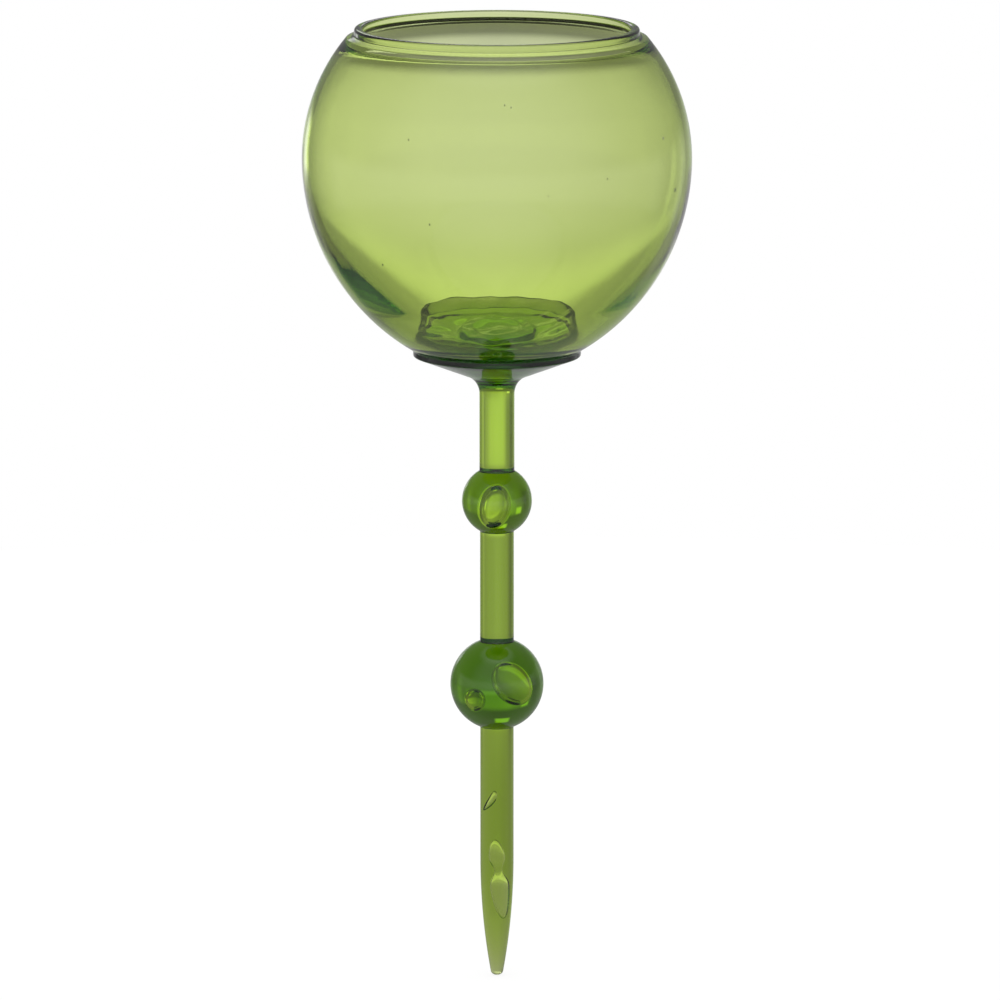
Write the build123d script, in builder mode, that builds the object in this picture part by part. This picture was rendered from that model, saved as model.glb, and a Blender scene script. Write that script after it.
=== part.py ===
from build123d import *
import os
from math import acos, asin, atan2, cos, degrees, hypot, radians, sin, sqrt, tan

# Green glass watering globe: an open blown bowl on a glass stem with two balls and a soil spike.
# Millimetres, +Z up. Z is the axis of the glass, and z = 0 is the soil line, where the spike
# leaves the large ball. The pieces are fused on their seats, so neighbours meet face to face.

# Bowl: two arcs that meet upright at the equator, and a rounded bottom
bowl_radius = 50.8
belly_curve = 58.2  # radius of the outline below the equator
shoulder_curve = 49.2  # radius of the outline above it
wall = 1.7  # at the equator and above
low_wall = 2.8  # at the floor

# Lump of glass on the bowl's floor
lump_radius = 20.5
lump_height = 3.4  # at its middle, over the floor
lump_round = 1.4
lump_tilt = 10  # degrees, its top faces a little forwards
lump_shift = 0.6  # its foot stands this far back
button_radius = 9.8  # raised middle of the lump
button_height = 1.0
button_round = 0.6
moat_width = 1.5  # ring of floor left round the lump

# Rolled rim
mouth_radius = 35.1
lip_thickness = 2.6
lip_height = 2.3  # over the shoulder
lip_round = 0.9
groove_width = 1.2  # ring of shoulder left outside the lip
collar_depth = 1.3  # foot of the lip down to the rim's seat

# Base pad
pad_radius = 22.0
pad_web = 0.75  # from the flare's highest level to the bottom of the bowl, on the axis
ledge_height = 1.55  # edge of the pad
pad_edge_round = 0.9

# Stem
upper_stem_radius = 4.6
upper_stem_straight = 20.55  # small ball up to the flare
flare_radius = 5.1
middle_stem_radius = 4.45
middle_stem_length = 29.6

# Balls
small_ball_radius = 9.2
large_ball_radius = 12.3

# Spike
spike_radius = 4.4
spike_straight = 36.0
spike_taper = 31.8
tip_radius = 1.45
tip_round = 0.6

# Drip channel from the bowl's floor to the tip
channel_radius = 0.6

# Trapped air: width, length, offset to the right, offset up from the ball's centre, lean in degrees
small_ball_bubble = (7.4, 10.4, -0.5, -1.5, 12)
large_ball_bubbles = [(7.6, 11.0, 3.7, 0.0, -45), (5.0, 5.4, -5.0, -3.4, 0)]
# In the spike: width, length, offset to the right, depth of its middle under the soil line, lean
spike_bubbles = [(1.5, 5.6, -1.3, 20.0, 6), (3.0, 9.8, 0.5, 34.3, 2), (3.0, 15.4, 0.5, 45.9, 0)]


def side(radius, other):
    """Height over its middle at which a ball of one radius is as wide as the other radius."""
    return sqrt(radius**2 - other**2)


# Heights of the seats and centres, from the soil line up
large_ball_z = side(large_ball_radius, spike_radius)
middle_stem_z = large_ball_z + side(large_ball_radius, middle_stem_radius)
small_ball_seat_z = middle_stem_z + middle_stem_length
small_ball_z = small_ball_seat_z + side(small_ball_radius, middle_stem_radius)
upper_stem_z = small_ball_z + side(small_ball_radius, upper_stem_radius)
flare_z = upper_stem_z + upper_stem_straight
bowl_bottom_z = flare_z + flare_radius + pad_web

# Bottom of the bowl, which the pad's seat shares: a cap tangent to the belly at the pad's edge
belly_centre_radius = bowl_radius - belly_curve
belly_run = pad_radius - belly_centre_radius
cap_curve = belly_curve * pad_radius / belly_run
pad_edge_drop = side(belly_curve, belly_run)
cap_angle = degrees(asin(belly_run / belly_curve))
cap_centre_z = bowl_bottom_z + cap_curve
pad_edge_z = cap_centre_z - side(cap_curve, pad_radius)
equator_z = pad_edge_z + pad_edge_drop
drain_angle = degrees(asin(channel_radius / cap_curve))

# Underside of the pad: from its edge down to where it runs on into the stem's flare
pad_corner_z = pad_edge_z - ledge_height
flare_centre_radius = upper_stem_radius + flare_radius
corner_run = pad_radius - flare_centre_radius
corner_rise = pad_corner_z - flare_z
pad_slope = degrees(atan2(corner_rise, corner_run) - asin(flare_radius / hypot(corner_run, corner_rise)))
flare_top_radius = flare_centre_radius - flare_radius * sin(radians(pad_slope))
pad_z = flare_z + flare_radius * cos(radians(pad_slope))

# Rim: the lip stands on the shoulder where the groove outside it ends
lip_radius = mouth_radius + lip_thickness
groove_radius = lip_radius + groove_width
shoulder_centre = (bowl_radius - shoulder_curve, equator_z)
groove_angle = degrees(acos((groove_radius - shoulder_centre[0]) / shoulder_curve))
lip_foot_z = equator_z + shoulder_curve * sin(radians(groove_angle))
lip_top_z = lip_foot_z + lip_height
rim_seat_z = lip_foot_z - collar_depth
rim_seat_rise = rim_seat_z - equator_z
rim_seat_angle = degrees(asin(rim_seat_rise / shoulder_curve))

# Inside of the bowl: the wall thickens from the equator down to the floor
inner_radius = bowl_radius - wall
inner_curve = shoulder_curve - wall
inner_seat_angle = degrees(asin(rim_seat_rise / inner_curve))
floor_radius = lump_radius + moat_width
low_curve = belly_curve - low_wall
floor_angle = acos((floor_radius - belly_centre_radius) / low_curve)
floor_z = equator_z - low_curve * sin(floor_angle)
belly_pull = 4 / 3 * tan(floor_angle / 4) * low_curve  # handles that make a Bezier curve follow an arc


def air_bubble(centre, width, length, lean):
    """Takes an egg of air out of the piece being built; lean tips its top towards +X."""
    across = (cos(radians(lean)), 0, -sin(radians(lean)))
    plane = Plane(origin=centre, x_dir=across, z_dir=(0, -1, 0))
    with BuildSketch(plane) as half_egg:
        with BuildLine():
            shell = EllipticalCenterArc((0, 0), width / 2, length / 2, -90, arc_size=180)
            Line(shell @ 1, shell @ 0)
        make_face()
    revolve(half_egg.sketch, axis=Axis(centre, plane.y_dir), mode=Mode.SUBTRACT)


def ball_profile(radius, centre_z, lower_seat_radius, upper_seat_radius):
    """Half outline of a ball that is cut flat where the stems seat on it."""
    lower_angle = degrees(acos(lower_seat_radius / radius))
    upper_angle = degrees(acos(upper_seat_radius / radius))
    with BuildSketch(Plane.XZ) as half_ball:
        with BuildLine():
            belly = CenterArc((0, centre_z), radius, -lower_angle, lower_angle + upper_angle)
            lower_seat, upper_seat = belly @ 0, belly @ 1
            channel_top = (channel_radius, upper_seat.Y)
            channel_bottom = (channel_radius, lower_seat.Y)
            Polyline(upper_seat, channel_top, channel_bottom, lower_seat)
        make_face()
    return half_ball.sketch


def middle_of_glass(outer_radius):
    """How far forward a bubble sits: halfway from the drip channel to the surface."""
    return -(channel_radius + outer_radius) / 2


def bowl_seat():
    """The line on which the bowl's bottom and the pad meet, from the drip channel outwards."""
    return CenterArc((0, cap_centre_z), cap_curve, drain_angle - 90, cap_angle - drain_angle)


with BuildPart() as cavity:
    with BuildSketch(Plane.XZ):
        with BuildLine():
            inside = CenterArc(shoulder_centre, inner_curve, 0, inner_seat_angle)
            inner_belly = Bezier(
                inside @ 0,
                (inner_radius, equator_z - belly_pull),
                (floor_radius + belly_pull * sin(floor_angle), floor_z + belly_pull * cos(floor_angle)),
                (floor_radius, floor_z),
            )
            Polyline(inner_belly @ 1, (0, floor_z), (0, lip_top_z), ((inside @ 1).X, lip_top_z), inside @ 1)
        make_face()
    revolve()
    facing = (0, -cos(radians(lump_tilt)), -sin(radians(lump_tilt)))
    tilted = Plane(origin=(0, lump_shift, floor_z), x_dir=(1, 0, 0), z_dir=facing)
    button_top = lump_height + button_height
    with BuildSketch(tilted) as lump_profile:
        with BuildLine():
            Polyline(
                (0, button_top),
                (button_radius, button_top),
                (button_radius, lump_height),
                (lump_radius, lump_height),
                (lump_radius, -lump_height),
                (0, -lump_height),
                close=True,
            )
        make_face()
        top_corners = lump_profile.vertices().filter_by(lambda corner: corner.Y > 0)
        fillet(top_corners.group_by(Axis.X)[-1], lump_round)
        fillet(lump_profile.vertices().group_by(Axis.Y)[-1].group_by(Axis.X)[-1], button_round)
    revolve(lump_profile.sketch, axis=Axis(tilted.origin, tilted.y_dir), mode=Mode.SUBTRACT)

with BuildPart() as bowl:
    with BuildSketch(Plane.XZ):
        with BuildLine():
            seat = bowl_seat()
            CenterArc((belly_centre_radius, equator_z), belly_curve, cap_angle - 90, 90 - cap_angle)
            outside = CenterArc(shoulder_centre, shoulder_curve, 0, rim_seat_angle)
            Polyline(outside @ 1, (channel_radius, rim_seat_z), seat @ 0)
        make_face()
    revolve()
    add(cavity.part, mode=Mode.SUBTRACT)
bowl.part.label = "bowl"

with BuildPart() as rolled_rim:
    with BuildSketch(Plane.XZ) as rim_profile:
        with BuildLine():
            rolled_over = groove_angle - rim_seat_angle
            shoulder = CenterArc(shoulder_centre, shoulder_curve, rim_seat_angle, rolled_over)
            Polyline(
                shoulder @ 1,
                (lip_radius, lip_foot_z),
                (lip_radius, lip_top_z),
                (mouth_radius, lip_top_z),
                (mouth_radius, rim_seat_z),
                shoulder @ 0,
            )
        make_face()
        fillet(rim_profile.vertices().group_by(Axis.Y)[-1], lip_round)
    revolve()
rolled_rim.part.label = "rolled_rim"

with BuildPart() as base_pad:
    with BuildSketch(Plane.XZ) as pad_profile:
        with BuildLine():
            seat = bowl_seat()
            Polyline(
                seat @ 1,
                (pad_radius, pad_corner_z),
                (flare_top_radius, pad_z),
                (channel_radius, pad_z),
                seat @ 0,
            )
        make_face()
        outer_corners = pad_profile.vertices().group_by(Axis.X)[-1]
        fillet(outer_corners.sort_by(Axis.Y)[0], pad_edge_round)
    revolve()
base_pad.part.label = "base_pad"

with BuildPart() as upper_stem:
    with BuildSketch(Plane.XZ):
        with BuildLine():
            flare = CenterArc((flare_centre_radius, flare_z), flare_radius, 180, pad_slope - 90)
            Polyline(
                flare @ 0,
                (upper_stem_radius, upper_stem_z),
                (channel_radius, upper_stem_z),
                (channel_radius, pad_z),
                flare @ 1,
            )
        make_face()
    revolve()
upper_stem.part.label = "upper_stem"

with BuildPart() as small_ball:
    revolve(ball_profile(small_ball_radius, small_ball_z, middle_stem_radius, upper_stem_radius))
    width, length, right, up, lean = small_ball_bubble
    air_bubble((right, middle_of_glass(small_ball_radius), small_ball_z + up), width, length, lean)
small_ball.part.label = "small_ball"

with BuildPart() as middle_stem:
    with BuildSketch(Plane.XY.offset(middle_stem_z)):
        Circle(middle_stem_radius)
        Circle(channel_radius, mode=Mode.SUBTRACT)
    extrude(amount=middle_stem_length)
middle_stem.part.label = "middle_stem"

with BuildPart() as large_ball:
    revolve(ball_profile(large_ball_radius, large_ball_z, spike_radius, middle_stem_radius))
    for width, length, right, up, lean in large_ball_bubbles:
        air_bubble((right, middle_of_glass(large_ball_radius), large_ball_z + up), width, length, lean)
large_ball.part.label = "large_ball"

with BuildPart() as spike:
    with BuildSketch(Plane.XZ) as spike_profile:
        with BuildLine():
            straight = Line((spike_radius, 0), (spike_radius, -spike_straight))
            tip_z = -spike_straight - spike_taper
            TangentArc(straight @ 1, (tip_radius, tip_z), tangent=straight % 1)
            Polyline((tip_radius, tip_z), (channel_radius, tip_z), (channel_radius, 0), straight @ 0)
        make_face()
        tip_corners = spike_profile.vertices().group_by(Axis.Y)[0]
        fillet(tip_corners.sort_by(Axis.X)[-1], tip_round)
    revolve()
    for width, length, right, depth, lean in spike_bubbles:
        air_bubble((right, middle_of_glass(spike_radius), -depth), width, length, lean)
spike.part.label = "spike"

os.makedirs("parts", exist_ok=True)
pieces = (bowl, rolled_rim, base_pad, upper_stem, small_ball, middle_stem, large_ball, spike)
for piece in pieces:
    export_step(piece.part, f"parts/{piece.part.label}.step")
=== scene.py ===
import math

import bmesh
import bpy
import numpy as np
from mathutils import Matrix, Vector


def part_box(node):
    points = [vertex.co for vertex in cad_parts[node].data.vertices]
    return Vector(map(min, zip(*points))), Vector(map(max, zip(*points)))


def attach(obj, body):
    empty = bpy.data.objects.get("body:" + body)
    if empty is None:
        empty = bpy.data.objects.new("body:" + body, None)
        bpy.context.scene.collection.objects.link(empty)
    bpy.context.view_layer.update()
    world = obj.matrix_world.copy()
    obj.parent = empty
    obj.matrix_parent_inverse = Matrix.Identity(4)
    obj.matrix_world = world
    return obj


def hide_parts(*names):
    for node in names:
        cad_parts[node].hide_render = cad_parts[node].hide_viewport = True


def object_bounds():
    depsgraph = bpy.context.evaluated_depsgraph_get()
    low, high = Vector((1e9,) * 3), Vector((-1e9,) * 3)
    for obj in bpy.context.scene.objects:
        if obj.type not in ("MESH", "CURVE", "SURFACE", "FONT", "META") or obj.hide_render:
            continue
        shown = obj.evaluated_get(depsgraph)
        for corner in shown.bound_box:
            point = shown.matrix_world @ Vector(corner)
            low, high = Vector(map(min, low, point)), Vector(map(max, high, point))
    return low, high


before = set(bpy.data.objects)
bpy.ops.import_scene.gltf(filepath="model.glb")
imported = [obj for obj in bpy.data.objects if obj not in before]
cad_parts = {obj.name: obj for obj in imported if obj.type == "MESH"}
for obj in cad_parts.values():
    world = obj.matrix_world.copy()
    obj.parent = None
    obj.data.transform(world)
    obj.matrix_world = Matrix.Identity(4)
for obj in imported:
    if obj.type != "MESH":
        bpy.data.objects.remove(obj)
cad_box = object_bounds()

MM = 0.001  # the glass is drawn in millimetres and set down in metres

# Outline of the glass, in millimetres and degrees
belly_curve = 58.2
shoulder_curve = 49.2
wall = 1.7
low_wall = 2.8
swell = 1.6  # extra wall under the rim
swell_start, swell_stop = 33.0, 44.0  # up the shoulder
shoulder_end = 60.0  # up the shoulder, past the place where the mouth cuts it
heavy_side = (1.2, 0.6)  # extra wall low down on the left and right
heavy_turn = 25.0  # from there towards the front, where it is thickest
heavy_from, heavy_most, heavy_to = 146.0, 114.5, 106.0  # its heights
heavy_fade_up = 1.5  # how fast it fades up and down
heavy_fade_round = 8  # how fast it fades round the bowl
lump_radius = 21.0
lump_height = 3.7
lump_foot = 0.9  # the lump is only askew above this
lump_round = 1.4
lump_dish = 4.5
lump_squash = 0.9  # front to back
lump_stretch = 1.06  # side to side
lump_shift = 1.8
lump_tilt = 8.0
lump_square = 2.6  # 2 is a circle, more is squarer
button_radius = 9.5
button_edge = 0.7
button_height = 1.5
moat = 1.0
moat_depth = 0.3
moat_start = 0.3  # from the lump's side, where its wall has ended
ring_radius = 6.2
ring_width = 0.7
ring_height = 0.35
lump_waves = 0.35  # height of the ripples in the lump
lump_ripples = [  # share of the height, radians per mm to the right and to the back, start
    (0.4, 0.42, 0.31, 1.0),
    (0.35, 0.75, -0.55, 2.2),
    (0.25, -0.3, 1.2, 0.3),
]
mouth_radius = 34.8
lip_thickness = 2.3
lip_height = 1.9
lip_round = 0.7
lip_bevel = 0.7
ledge_height = 1.55
flare_radius = 5.1
upper_stem_radius = 4.6
spike_straight = 36.0
tip_radius = 1.45
tip_nose = 1.2
outline_step = 0.1  # between the points that the flame rounds
polish = 0.5  # reach of the flame that rounds the edges
turns = 192  # facets round the axis

# Trapped air: node it is in, width, depth, length, place from the middle of the node's axis (right, forward, up),
# lean of its top to the right in degrees, waist as (place, how deep), bend of its foot to the right
bubbles = [
    ("small_ball", 6.5, 6.8, 8.9, (-0.5, 1.5, -0.95), 12, None, 0.0),
    ("large_ball", 7.6, 5.6, 9.8, (3.1, 2.6, 0.5), -40, None, 0.0),
    ("large_ball", 4.6, 4.6, 4.8, (-4.5, 3.0, -2.85), 0, None, 0.0),
    ("spike", 2.0, 1.6, 5.6, (-0.7, 2.2, 14.1), 4, None, -2.4),
    ("spike", 4.6, 2.2, 21.6, (0.5, 1.7, -7.2), -5, (0.22, 0.62), 0.0),
]
waist_width = 0.22  # in half lengths of the bubble

# Seeds, the tiny bubbles in the bowl's wall: place to the right, height, width, whether in front
seeds = [
    (42.6, 160.2, 0.5, True),
    (45.4, 146.0, 0.7, True),
    (-29.0, 129.0, 0.45, True),
    (2.0, 172.0, 0.4, True),
    (3.6, 171.4, 0.35, True),
    (-17.0, 141.0, 0.4, True),
    (14.0, 134.0, 0.35, False),
    (-24.0, 150.0, 0.4, False),
    (30.0, 140.0, 0.35, False),
]
seed_stretch = 1.5  # length to width
seed_rings, seed_facets = 8, 12

# Light that each millimetre of glass takes: red, green, blue
taken_per_mm = (0.095, 0.05, 0.33)

# Skin of the glass: streaks drawn out along the axis, slow waves, and smudges that are a little less clear
streaks = (190, 190, 22)
streak_share = 0.4
wave_scale = 70
skin_depth = 0.00003
smudge_scale = 55
smudge_edge = (0.58, 0.8)
smudge_haze = 0.05

# Studio round the glass: brightness by direction, in degrees to the right of straight behind it
high_levels = [  # the wall above its glow
    (-180, 1.2), (-120, 0.9), (-78, 0.65), (-62, 0.32), (-42, 0.2), (-27, 0.45), (-18, 0.69), (-10, 0.84), (-4, 0.77),
    (0, 0.72), (9, 0.69), (18, 0.55), (34, 0.4), (42, 0.6), (50, 0.4), (62, 0.36), (78, 0.65), (120, 0.9), (180, 1.2),
]
wall_levels = [  # the wall's glow
    (-180, 0.85), (-120, 0.75), (-78, 0.65), (-62, 0.32), (-42, 0.16), (-27, 0.36), (-12, 0.88), (0, 0.92), (12, 0.86),
    (27, 0.55), (34, 0.38), (42, 0.66), (50, 0.4), (62, 0.36), (78, 0.65), (120, 0.75), (180, 0.85),
]
table_levels = [  # the far table
    (-180, 0.8), (-90, 0.5), (-62, 0.3), (-42, 0.18), (-21, 0.44), (-13, 0.48), (-6, 0.52), (0, 0.53), (10, 0.48),
    (20, 0.46), (32, 0.4), (42, 0.5), (52, 0.32), (70, 0.4), (90, 0.5), (180, 0.8),
]
near_shade_levels = [  # the table near the glass, painted darker as the shade the glass casts on it
    (-180, 0.35), (-90, 0.4), (-60, 0.38), (-42, 0.3), (-21, 0.35), (0, 0.4), (21, 0.4), (42, 0.4), (60, 0.38),
    (90, 0.4), (180, 0.35),
]
near_shade_edge = (0.2, 0.42)  # metres from the axis, where the painted shade near the glass fades out
tent_radius = 0.6
tent_wall = 0.3  # height at which the walls lean in to the dome
tent_dome = 0.4
studio_facets = 96
pinhole = 0.00001  # left open where a turned sheet meets its axis
sweep_low, sweep_high = 0.004, 0.034  # the table's end runs up into the wall
glow_low, glow_high = 0.038, 0.072  # the wall glows below this
ceiling_edge = (0.092, 0.18)
ceiling_level = 0.24
front_edge = (95, 140)  # degrees at which the bright front begins
front_share = 0.6  # how much of the front's light goes on above the edge of the ceiling
top_edge = (0.58, 0.66)
top_level = 0.75
lamps = [  # from, to and softness in degrees round, the same in metres up, level
    ((-33, -24, 2), (0.05, 0.14, 0.02), 0.9),
    ((-14, 2, 2), (0.29, 0.4, 0.02), 1.1),
]
plain_light = 0.8
floor_glow, floor_shade = 0.85, 0.22
bounces = 64
clear_bounces = 24

# Camera
lens = 266.4
pitch = 10.9
camera_place = (0.0008, -1.908, 0.4281)
sensor_width = 36


def node_box(name):
    """Corners of a CAD node's box, in millimetres."""
    low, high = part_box(name)
    return low / MM, high / MM


def side(radius, other):
    """Height over its middle at which a ball of one radius is as wide as the other radius."""
    return math.sqrt(radius**2 - other**2)


def arc(centre, radius, start, stop, step=0.25):
    """Points on an arc, from one angle in degrees to the other."""
    count = max(3, int(abs(math.radians(stop - start)) * radius / step))
    angles = np.radians(np.linspace(start, stop, count))
    return np.column_stack([centre[0] + radius * np.cos(angles), centre[1] + radius * np.sin(angles)])


def bezier(a, b, c, d, count=300):
    """Points on a curve that leaves a towards b and reaches d from c."""
    t = np.linspace(0, 1, count)[:, None]
    a, b, c, d = (np.array(p) for p in (a, b, c, d))
    return (1 - t) ** 3 * a + 3 * t * (1 - t) ** 2 * b + 3 * t**2 * (1 - t) * c + t**3 * d


def ball(radius, centre, upper, lower):
    """Side of a ball on the axis, between the rods above and below it."""
    return arc((0, centre), radius, math.degrees(math.acos(upper / radius)), -math.degrees(math.acos(lower / radius)))


def glass_outline():
    """One line of (radius, height) points: up the inside of the bowl, over the lip and down the outside to the tip."""
    _, bowl_high = node_box("bowl")
    _, pad_high = node_box("base_pad")
    _, rim_high = node_box("rolled_rim")
    _, stem_high = node_box("upper_stem")
    small_low, small_high = node_box("small_ball")
    _, middle_high = node_box("middle_stem")
    large_low, large_high = node_box("large_ball")
    spike_low, spike_high = node_box("spike")
    bowl_radius, pad_radius = bowl_high.x, pad_high.x
    belly_centre = bowl_radius - belly_curve
    equator = pad_high.z + side(belly_curve, pad_radius - belly_centre)
    belly_angle = math.degrees(math.acos((pad_radius - belly_centre) / belly_curve))
    shoulder_centre = bowl_radius - shoulder_curve
    lip_radius = mouth_radius + lip_thickness
    lip_foot = rim_high.z - lip_height
    groove_angle = math.degrees(math.asin((lip_foot - lip_bevel - equator) / shoulder_curve))

    climb = np.linspace(0, shoulder_end, 400)
    swollen = np.clip((climb - swell_start) / (swell_stop - swell_start), 0, None)
    inner = shoulder_curve - wall - swell * swollen**2
    inside_of_shoulder = np.column_stack([
        shoulder_centre + inner * np.cos(np.radians(climb)), equator + inner * np.sin(np.radians(climb))
    ])
    inside_of_shoulder = inside_of_shoulder[inside_of_shoulder[:, 0] > mouth_radius]

    low_reach = belly_curve - low_wall
    low_angle = math.acos((lump_radius + moat - belly_centre) / low_reach)
    low_point = np.array([lump_radius + moat, equator - low_reach * math.sin(low_angle)])
    pull = 4 / 3 * math.tan(low_angle / 4) * low_reach
    along_belly = np.array([math.sin(low_angle), math.cos(low_angle)])
    inside_of_belly = bezier(
        low_point,
        low_point + pull * along_belly,
        (bowl_radius - wall, equator - pull),
        (bowl_radius - wall, equator),
    )

    moat_z = low_point[1] - moat_depth
    top_z = moat_z + lump_height
    dome_edge = lump_radius - lump_round
    across = np.linspace(0, dome_edge, 80)
    dome = np.column_stack([across, top_z - lump_dish * (1 - (across / lump_radius) ** 2)])
    dome[:, 1] += button_height * 0.5 * (1 - np.tanh((across - button_radius) / button_edge))
    dome[:, 1] += ring_height * np.exp(-(((across - ring_radius) / ring_width) ** 2))
    lump_edge = arc((dome_edge, dome[-1][1] - lump_round), lump_round, 90, 0)

    middle_radius, spike_radius = middle_high.x, spike_high.x
    small_radius, large_radius = small_high.x, large_high.x
    small_z = small_low.z + side(small_radius, middle_radius)
    large_z = large_low.z + side(large_radius, spike_radius)
    slope = math.asin(1 - (stem_high.x - upper_stem_radius) / flare_radius)
    flare_centre = (upper_stem_radius + flare_radius, stem_high.z - flare_radius * math.cos(slope))

    tip_z = spike_low.z
    taper = -spike_straight - tip_z
    narrowing = spike_radius - tip_radius
    taper_curve = (taper**2 + narrowing**2) / (2 * narrowing)
    taper_angle = math.degrees(math.asin(taper / taper_curve))
    tapering = arc((spike_radius - taper_curve, -spike_straight), taper_curve, 0, -taper_angle)
    tapering = tapering[tapering[:, 1] > tip_z + tip_nose]
    bow = np.linspace(0, math.pi / 2, 20)
    nose = np.column_stack([tapering[-1][0] * np.cos(bow), tip_z + tip_nose * (1 - np.sin(bow))])

    stretches = [
        dome,
        lump_edge,
        [(lump_radius, moat_z)],
        inside_of_belly,
        inside_of_shoulder,
        [(mouth_radius, inside_of_shoulder[-1][1])],
        arc((mouth_radius + lip_round, rim_high.z - lip_round), lip_round, 180, 90),
        arc((lip_radius - lip_round, rim_high.z - lip_round), lip_round, 90, 0),
        [(lip_radius, lip_foot)],
        arc((shoulder_centre, equator), shoulder_curve, groove_angle, 0),
        arc((belly_centre, equator), belly_curve, 0, -belly_angle),
        [(pad_radius, pad_high.z - ledge_height)],
        arc(flare_centre, flare_radius, 90 + math.degrees(slope), 180),
        ball(small_radius, small_z, upper_stem_radius, middle_radius),
        ball(large_radius, large_z, middle_radius, spike_radius),
        [(spike_radius, -spike_straight)],
        tapering,
        nose,
    ]
    return np.vstack([np.array(s, float) for s in stretches])


def even(path, step, same_point=1e-6):
    """The same line with its points one step apart."""
    gaps = np.hypot(*np.diff(path, axis=0).T)
    path = path[np.append(True, gaps > same_point)]
    along = np.append(0, np.cumsum(np.hypot(*np.diff(path, axis=0).T)))
    wanted = np.linspace(0, along[-1], int(along[-1] / step) + 1)
    return np.column_stack([np.interp(wanted, along, path[:, k]) for k in (0, 1)])


def fire_polish(path, reach, step):
    """Rounds every corner as a flame does: a running mean along the line, whose ends stay on the axis."""
    width = max(1, int(round(reach / step)))
    mirrored = np.vstack([path[width:0:-1] * (-1, 1), path, path[-2:-width - 2:-1] * (-1, 1)])
    window = np.ones(2 * width + 1) / (2 * width + 1)
    smooth = np.column_stack([np.convolve(mirrored[:, k], window, "valid") for k in (0, 1)])
    smooth[[0, -1], 0] = 0
    return smooth


def thin(path, bend=0.05, longest=1.6):
    """Leaves out points where the line is straight: each kept step turns by about one bend at most."""
    d = np.diff(path, axis=0)
    angle = np.unwrap(np.arctan2(d[:, 1], d[:, 0]))
    kept, last_angle, run = [0], angle[0], 0.0
    for i in range(1, len(path) - 1):
        run += np.hypot(*d[i - 1])
        if abs(angle[i] - last_angle) > bend or run > longest:
            kept.append(i)
            last_angle, run = angle[i], 0.0
    return path[kept + [len(path) - 1]]


def trap_air(made, centre, width, depth, length, lean=0.0, waist=None, bend=0.0, rings=40, facets=48):
    """Adds the skin of a bubble, which faces into the air it holds."""
    turn = Matrix.Rotation(math.radians(lean), 3, "Y")
    skin = []
    for k in range(rings + 1):
        t = -math.cos(math.pi * k / rings)
        r = math.sqrt(max(0, 1 - t * t))
        if waist:
            r *= 1 - waist[1] * math.exp(-(((t - waist[0]) / waist_width) ** 2))
        middle = centre + turn @ Vector((bend * ((1 - t) / 2) ** 2, 0, t * length / 2))
        round_it = np.linspace(0, 2 * math.pi, 1 if k in (0, rings) else facets, endpoint=False)
        spokes = [Vector((r * width / 2 * math.cos(a), r * depth / 2 * math.sin(a), 0)) for a in round_it]
        skin.append([made.verts.new((middle + turn @ spoke) * MM) for spoke in spokes])
    for a, b in zip(skin, skin[1:]):
        for k in range(facets):
            n = (k + 1) % facets
            if len(a) == 1:
                made.faces.new((a[0], b[k], b[n]))
            elif len(b) == 1:
                made.faces.new((b[0], a[n], a[k]))
            else:
                made.faces.new((a[n], a[k], b[k], b[n]))


def smooth_object(name, made):
    """An object in the scene from a mesh that is being made, shaded smooth."""
    for face in made.faces:
        face.smooth = True
    mesh = bpy.data.meshes.new(name)
    made.to_mesh(mesh)
    made.free()
    thing = bpy.data.objects.new(name, mesh)
    bpy.context.scene.collection.objects.link(thing)
    return thing


def ripples(x, y):
    """Height of slow waves in soft glass, from -1 to 1."""
    return sum(share * math.sin(right * x + back * y + start) for share, right, back, start in lump_ripples)


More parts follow.
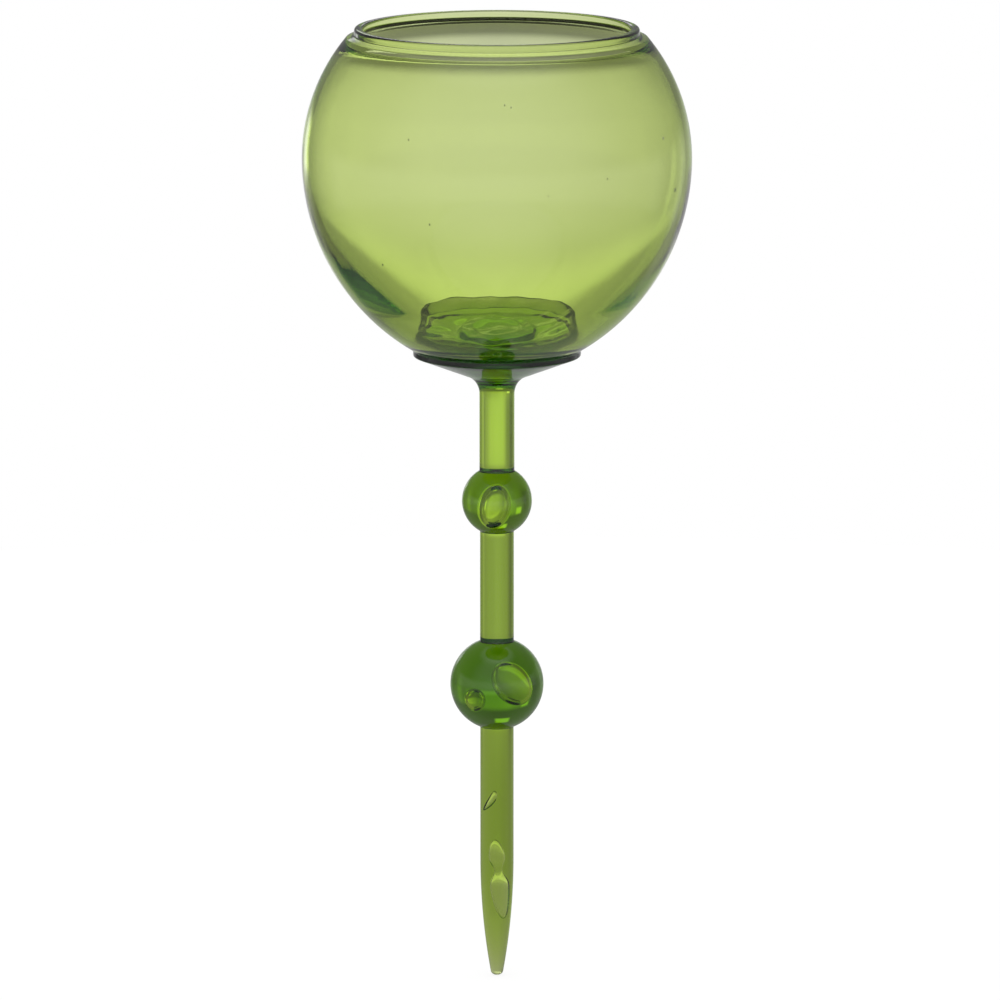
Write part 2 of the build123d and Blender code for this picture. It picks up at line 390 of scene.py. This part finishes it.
def blow_glass():
    """The whole glass as one closed mesh, with the lump pushed askew, heavier sides and the air inside."""
    path = even(glass_outline(), outline_step)
    for _ in range(2):
        path = fire_polish(path, polish / 2, outline_step)
    path = thin(path)
    along = np.gradient(path, axis=0)
    along /= np.hypot(*along.T)[:, None]
    edge_at = int(np.argmax(path[:, 0] > lump_radius - lump_round))
    moat_at = int(np.argmax(path[:, 0] > lump_radius + moat_start))
    equator_at = int(np.argmax(path[:, 0]))
    moat_z = path[moat_at][1]
    tilt = math.tan(math.radians(lump_tilt))
    heavy_c, heavy_s = math.cos(math.radians(heavy_turn)), math.sin(math.radians(heavy_turn))

    made = bmesh.new()
    bottom = made.verts.new((0, 0, path[0][1] * MM))
    top = made.verts.new((0, 0, path[-1][1] * MM))
    angles = np.linspace(0, 2 * math.pi, turns, endpoint=False)
    rings = []
    for k, (r, z) in enumerate(path[1:-1], 1):
        heavy = 0.0
        if moat_at < k < equator_at:
            heavy = np.interp(z, (heavy_to, heavy_most, heavy_from), (0, 1, 0)) ** heavy_fade_up
        askew = float(k <= edge_at)
        if moat_at > k > edge_at:
            askew = min(1.0, max(0.0, (z - moat_z) / lump_foot))
        squash = 1 - askew * (1 - lump_squash)
        stretch = 1 + askew * (lump_stretch - 1)
        full = askew * r / lump_radius
        ring = []
        for a in angles:
            c, s = math.cos(a), math.sin(a)
            square = (abs(c) ** lump_square + abs(s) ** lump_square) ** (1 / lump_square)
            extra = heavy * heavy_side[c > 0] * max(0.0, abs(c) * heavy_c - s * heavy_s) ** heavy_fade_round
            grown = r * (1 - full + full / square) - along[k][1] * extra
            x, y = grown * c * stretch, grown * s * squash + askew * lump_shift
            lift = askew * (tilt * y + lump_waves * ripples(x, y)) + along[k][0] * extra
            ring.append(made.verts.new((x * MM, y * MM, (z + lift) * MM)))
        rings.append(ring)
    bottom.co.y = lump_shift * MM
    bottom.co.z += (tilt * lump_shift + lump_waves * ripples(0, lump_shift)) * MM
    for k in range(turns):
        n = (k + 1) % turns
        made.faces.new((bottom, rings[0][k], rings[0][n]))
        made.faces.new((top, rings[-1][n], rings[-1][k]))
        for ring, following in zip(rings, rings[1:]):
            made.faces.new((ring[n], ring[k], following[k], following[n]))
    bmesh.ops.recalc_face_normals(made, faces=made.faces)

    for node, width, depth, length, (right, forward, up), *shape in bubbles:
        low, high = node_box(node)
        trap_air(made, Vector((right, -forward, (low.z + high.z) / 2 + up)), width, depth, length, *shape)
    outside = path[equator_at:][::-1]
    for right, height, size, front in seeds:
        reach = np.interp(height, outside[:, 1], outside[:, 0]) - wall / 2
        centre = Vector((right, math.sqrt(reach**2 - right**2) * (-1 if front else 1), height))
        trap_air(made, centre, size, size, size * seed_stretch, rings=seed_rings, facets=seed_facets)
    return smooth_object("watering_globe", made)


class Wire:
    """A socket in a shader. Arithmetic on it adds Math nodes."""

    def __init__(self, shader, socket):
        self.shader, self.socket = shader, socket

    def maths(self, operation, *values):
        return self.shader.node("Math", {"operation": operation}, *values).out()

    def __add__(self, other):
        return self.maths("ADD", self, other)

    def __radd__(self, other):
        return self.maths("ADD", other, self)

    def __sub__(self, other):
        return self.maths("SUBTRACT", self, other)

    def __rsub__(self, other):
        return self.maths("SUBTRACT", other, self)

    def __mul__(self, other):
        return self.maths("MULTIPLY", self, other)

    def __rmul__(self, other):
        return self.maths("MULTIPLY", other, self)

    def __truediv__(self, other):
        return self.maths("DIVIDE", self, other)

    def __rtruediv__(self, other):
        return self.maths("DIVIDE", other, self)


class Node:
    """One node of a shader."""

    def __init__(self, shader, node):
        self.shader, self.node = shader, node

    def out(self, name=0):
        return Wire(self.shader, self.node.outputs[name])


class Shader:
    """The nodes of one material or of the world."""

    def __init__(self, owner):
        owner.use_nodes = True
        self.tree = owner.node_tree
        self.tree.nodes.clear()

    def node(self, kind, settings=None, *sockets, **named):
        """A node of that type: its settings first, then the values or links of its sockets."""
        made = self.tree.nodes.new("ShaderNode" + kind)
        for name, value in (settings or {}).items():
            if name == "stops":
                ramp = made.color_ramp
                ramp.interpolation = "EASE"
                while len(ramp.elements) < len(value):
                    ramp.elements.new(0.5)
                for element, (place, level) in zip(ramp.elements, value):
                    element.position = place
                    element.color = (level, level, level, 1)
            else:
                setattr(made, name, value)
        for name, value in [*enumerate(sockets), *named.items()]:
            socket = made.inputs[name if isinstance(name, int) else name.replace("_", " ")]
            if isinstance(value, Wire):
                self.tree.links.new(value.socket, socket)
            else:
                socket.default_value = value
        return Node(self, made)

    def step(self, value, low, high):
        """0 below low, 1 above high, smooth between."""
        return self.node(
            "MapRange", {"interpolation_type": "SMOOTHSTEP"}, Value=value, From_Min=low, From_Max=high
        ).out()

    def band(self, value, low, high, soft):
        """1 between low and high, 0 elsewhere, with soft edges."""
        return self.step(value, low - soft, low + soft) * (1 - self.step(value, high - soft, high + soft))


def green_glass():
    """Clear glass whose green deepens with its thickness."""
    material = bpy.data.materials.new("green glass")
    shader = Shader(material)
    place = shader.node("TexCoord").out("Object")
    drawn = shader.node("VectorMath", {"operation": "MULTIPLY"}, place, streaks).out()
    streak = shader.node("TexNoise", None, Vector=drawn, Scale=1, Detail=2, Roughness=0.4).out()
    waves = shader.node("TexNoise", None, Vector=place, Scale=wave_scale, Detail=1).out()
    smudge = shader.node("TexNoise", None, Vector=place, Scale=smudge_scale, Detail=4, Roughness=0.6).out()
    skin = shader.node("Bump", None, Strength=1, Distance=skin_depth, Height=streak * streak_share + waves)
    surface = shader.node(
        "BsdfPrincipled",
        None,
        Base_Color=(1, 1, 1, 1),
        Transmission_Weight=1,
        Roughness=shader.step(smudge, *smudge_edge) * smudge_haze,
        IOR=1.5,
        Normal=skin.out(),
    )
    deepest = max(taken_per_mm)
    passed = [1 - taken / deepest for taken in taken_per_mm]
    body = shader.node("VolumeAbsorption", None, Color=(*passed, 1), Density=deepest / MM)
    shader.node("OutputMaterial", None, Surface=surface.out(), Volume=body.out())
    return material


def lathe(name, path):
    """A sheet of the studio, turned from a line of (radius, height) points."""
    made = bmesh.new()
    angles = np.linspace(0, 2 * math.pi, studio_facets, endpoint=False)
    rings = [[made.verts.new((r * math.cos(a), r * math.sin(a), z)) for a in angles] for r, z in path]
    for ring, following in zip(rings, rings[1:]):
        for k in range(studio_facets):
            made.faces.new((ring[k], ring[k - 1], following[k - 1], following[k]))
    return smooth_object(name, made)


def studio_directions(shader):
    """Degrees to the right of straight behind the glass, height, and distance from its axis."""
    parts = shader.node("SeparateXYZ", None, shader.node("NewGeometry").out("Position"))
    right, back, up = (parts.out(k) for k in range(3))
    turn = right.maths("ARCTAN2", right, back) / math.radians(1)
    away = right.maths("SQRT", right * right + back * back)
    return turn, up, away


def round_levels(shader, turn, stops):
    """Brightness at that many degrees round, from a list of (degrees, brightness)."""
    ramp = [(angle / 360 + 0.5, value) for angle, value in stops]
    return shader.node("ValToRGB", {"stops": ramp}, turn / 360 + 0.5).out()


def light_tent(floor_z):
    """Bright cloth round the glass. The camera looks through it, and the glass shows it."""
    rise = np.linspace(0, math.pi / 2, 40)
    dome = [(tent_radius * math.cos(a) + pinhole, tent_wall + tent_dome * math.sin(a)) for a in rise]
    tent = lathe("light_tent", [(tent_radius, floor_z), *dome])
    material = bpy.data.materials.new("tent cloth")
    shader = Shader(material)
    turn, up, _ = studio_directions(shader)
    walls = round_levels(shader, turn, wall_levels)
    table = round_levels(shader, turn, table_levels)
    above = shader.step(up, floor_z + sweep_low, floor_z + sweep_high)
    over = shader.step(up, floor_z + glow_low, floor_z + glow_high)
    walls = walls * (1 - over) + round_levels(shader, turn, high_levels) * over
    glow = table * (1 - above) + walls * above
    front = shader.step(turn.maths("ABSOLUTE", turn), *front_edge)
    ceiling = shader.step(up, *ceiling_edge) * (1 - front * front_share)
    top = shader.step(up, *top_edge)
    glow = glow * (1 - ceiling) + ceiling_level * ceiling + top * (top_level - ceiling_level)
    for lamp_turn, lamp_rise, level in lamps:
        glow = glow + shader.band(turn, *lamp_turn) * shader.band(up, *lamp_rise) * level
    light = shader.node("Emission", None, Color=glow, Strength=1)
    shader.node("OutputMaterial", None, Surface=light.out())
    tent.data.materials.append(material)
    tent.visible_camera = False
    tent.visible_diffuse = False
    tent.visible_shadow = False


def floor(floor_z):
    """White table that takes the shadow of the glass. Its brightness by direction shows only in the glass, with
    painted shade near the glass.
    """
    table = lathe("floor", [(pinhole, floor_z), (tent_radius, floor_z)])
    material = bpy.data.materials.new("white table")
    shader = Shader(material)
    turn, _, far = studio_directions(shader)
    rays = shader.node("LightPath")
    away = shader.step(far, *near_shade_edge)
    # painted shade: near the glass the table glows less for glass rays, in place of the glass's shadow
    near = round_levels(shader, turn, near_shade_levels)
    levels = near * (1 - away) + round_levels(shader, turn, table_levels) * away
    bent = far.maths("MAXIMUM", rays.out("Is Glossy Ray"), rays.out("Is Transmission Ray"))
    glow = rays.out("Is Camera Ray") * floor_glow + bent * levels
    light = shader.node("Emission", None, Color=glow, Strength=1)
    cloth = shader.node("BsdfDiffuse", None, Color=(floor_shade, floor_shade, floor_shade, 1))
    both = shader.node("AddShader", None, light.out(), cloth.out())
    only_light = shader.node("MixShader", None, bent, both.out(), light.out())
    shader.node("OutputMaterial", None, Surface=only_light.out())
    table.data.materials.append(material)


def studio_world():
    """White behind everything, and a plain even light."""
    world = bpy.data.worlds.new("studio")
    shader = Shader(world)
    seen = shader.node("LightPath").out("Is Camera Ray")
    light = shader.node("Background", None, Color=(1, 1, 1, 1), Strength=seen + (1 - seen) * plain_light)
    shader.node("OutputWorld", None, Surface=light.out())
    bpy.context.scene.world = world


glass = blow_glass()
glass.data.materials.append(green_glass())
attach(glass, "root")
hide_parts("bowl", "rolled_rim", "base_pad", "upper_stem", "small_ball", "middle_stem", "large_ball", "spike")

scene = bpy.context.scene
scene.view_settings.view_transform = "Standard"
studio_world()
floor_z = cad_box[0].z
light_tent(floor_z)
floor(floor_z)
scene.cycles.max_bounces = bounces
scene.cycles.transmission_bounces = bounces
scene.cycles.glossy_bounces = bounces
scene.cycles.transparent_max_bounces = clear_bounces

camera = bpy.data.objects.new("camera", bpy.data.cameras.new("camera"))
camera.data.lens = lens
camera.data.sensor_width = sensor_width
camera.location = camera_place
camera.rotation_euler = (math.radians(90 - pitch), 0, 0)
scene.collection.objects.link(camera)
scene.camera = camera
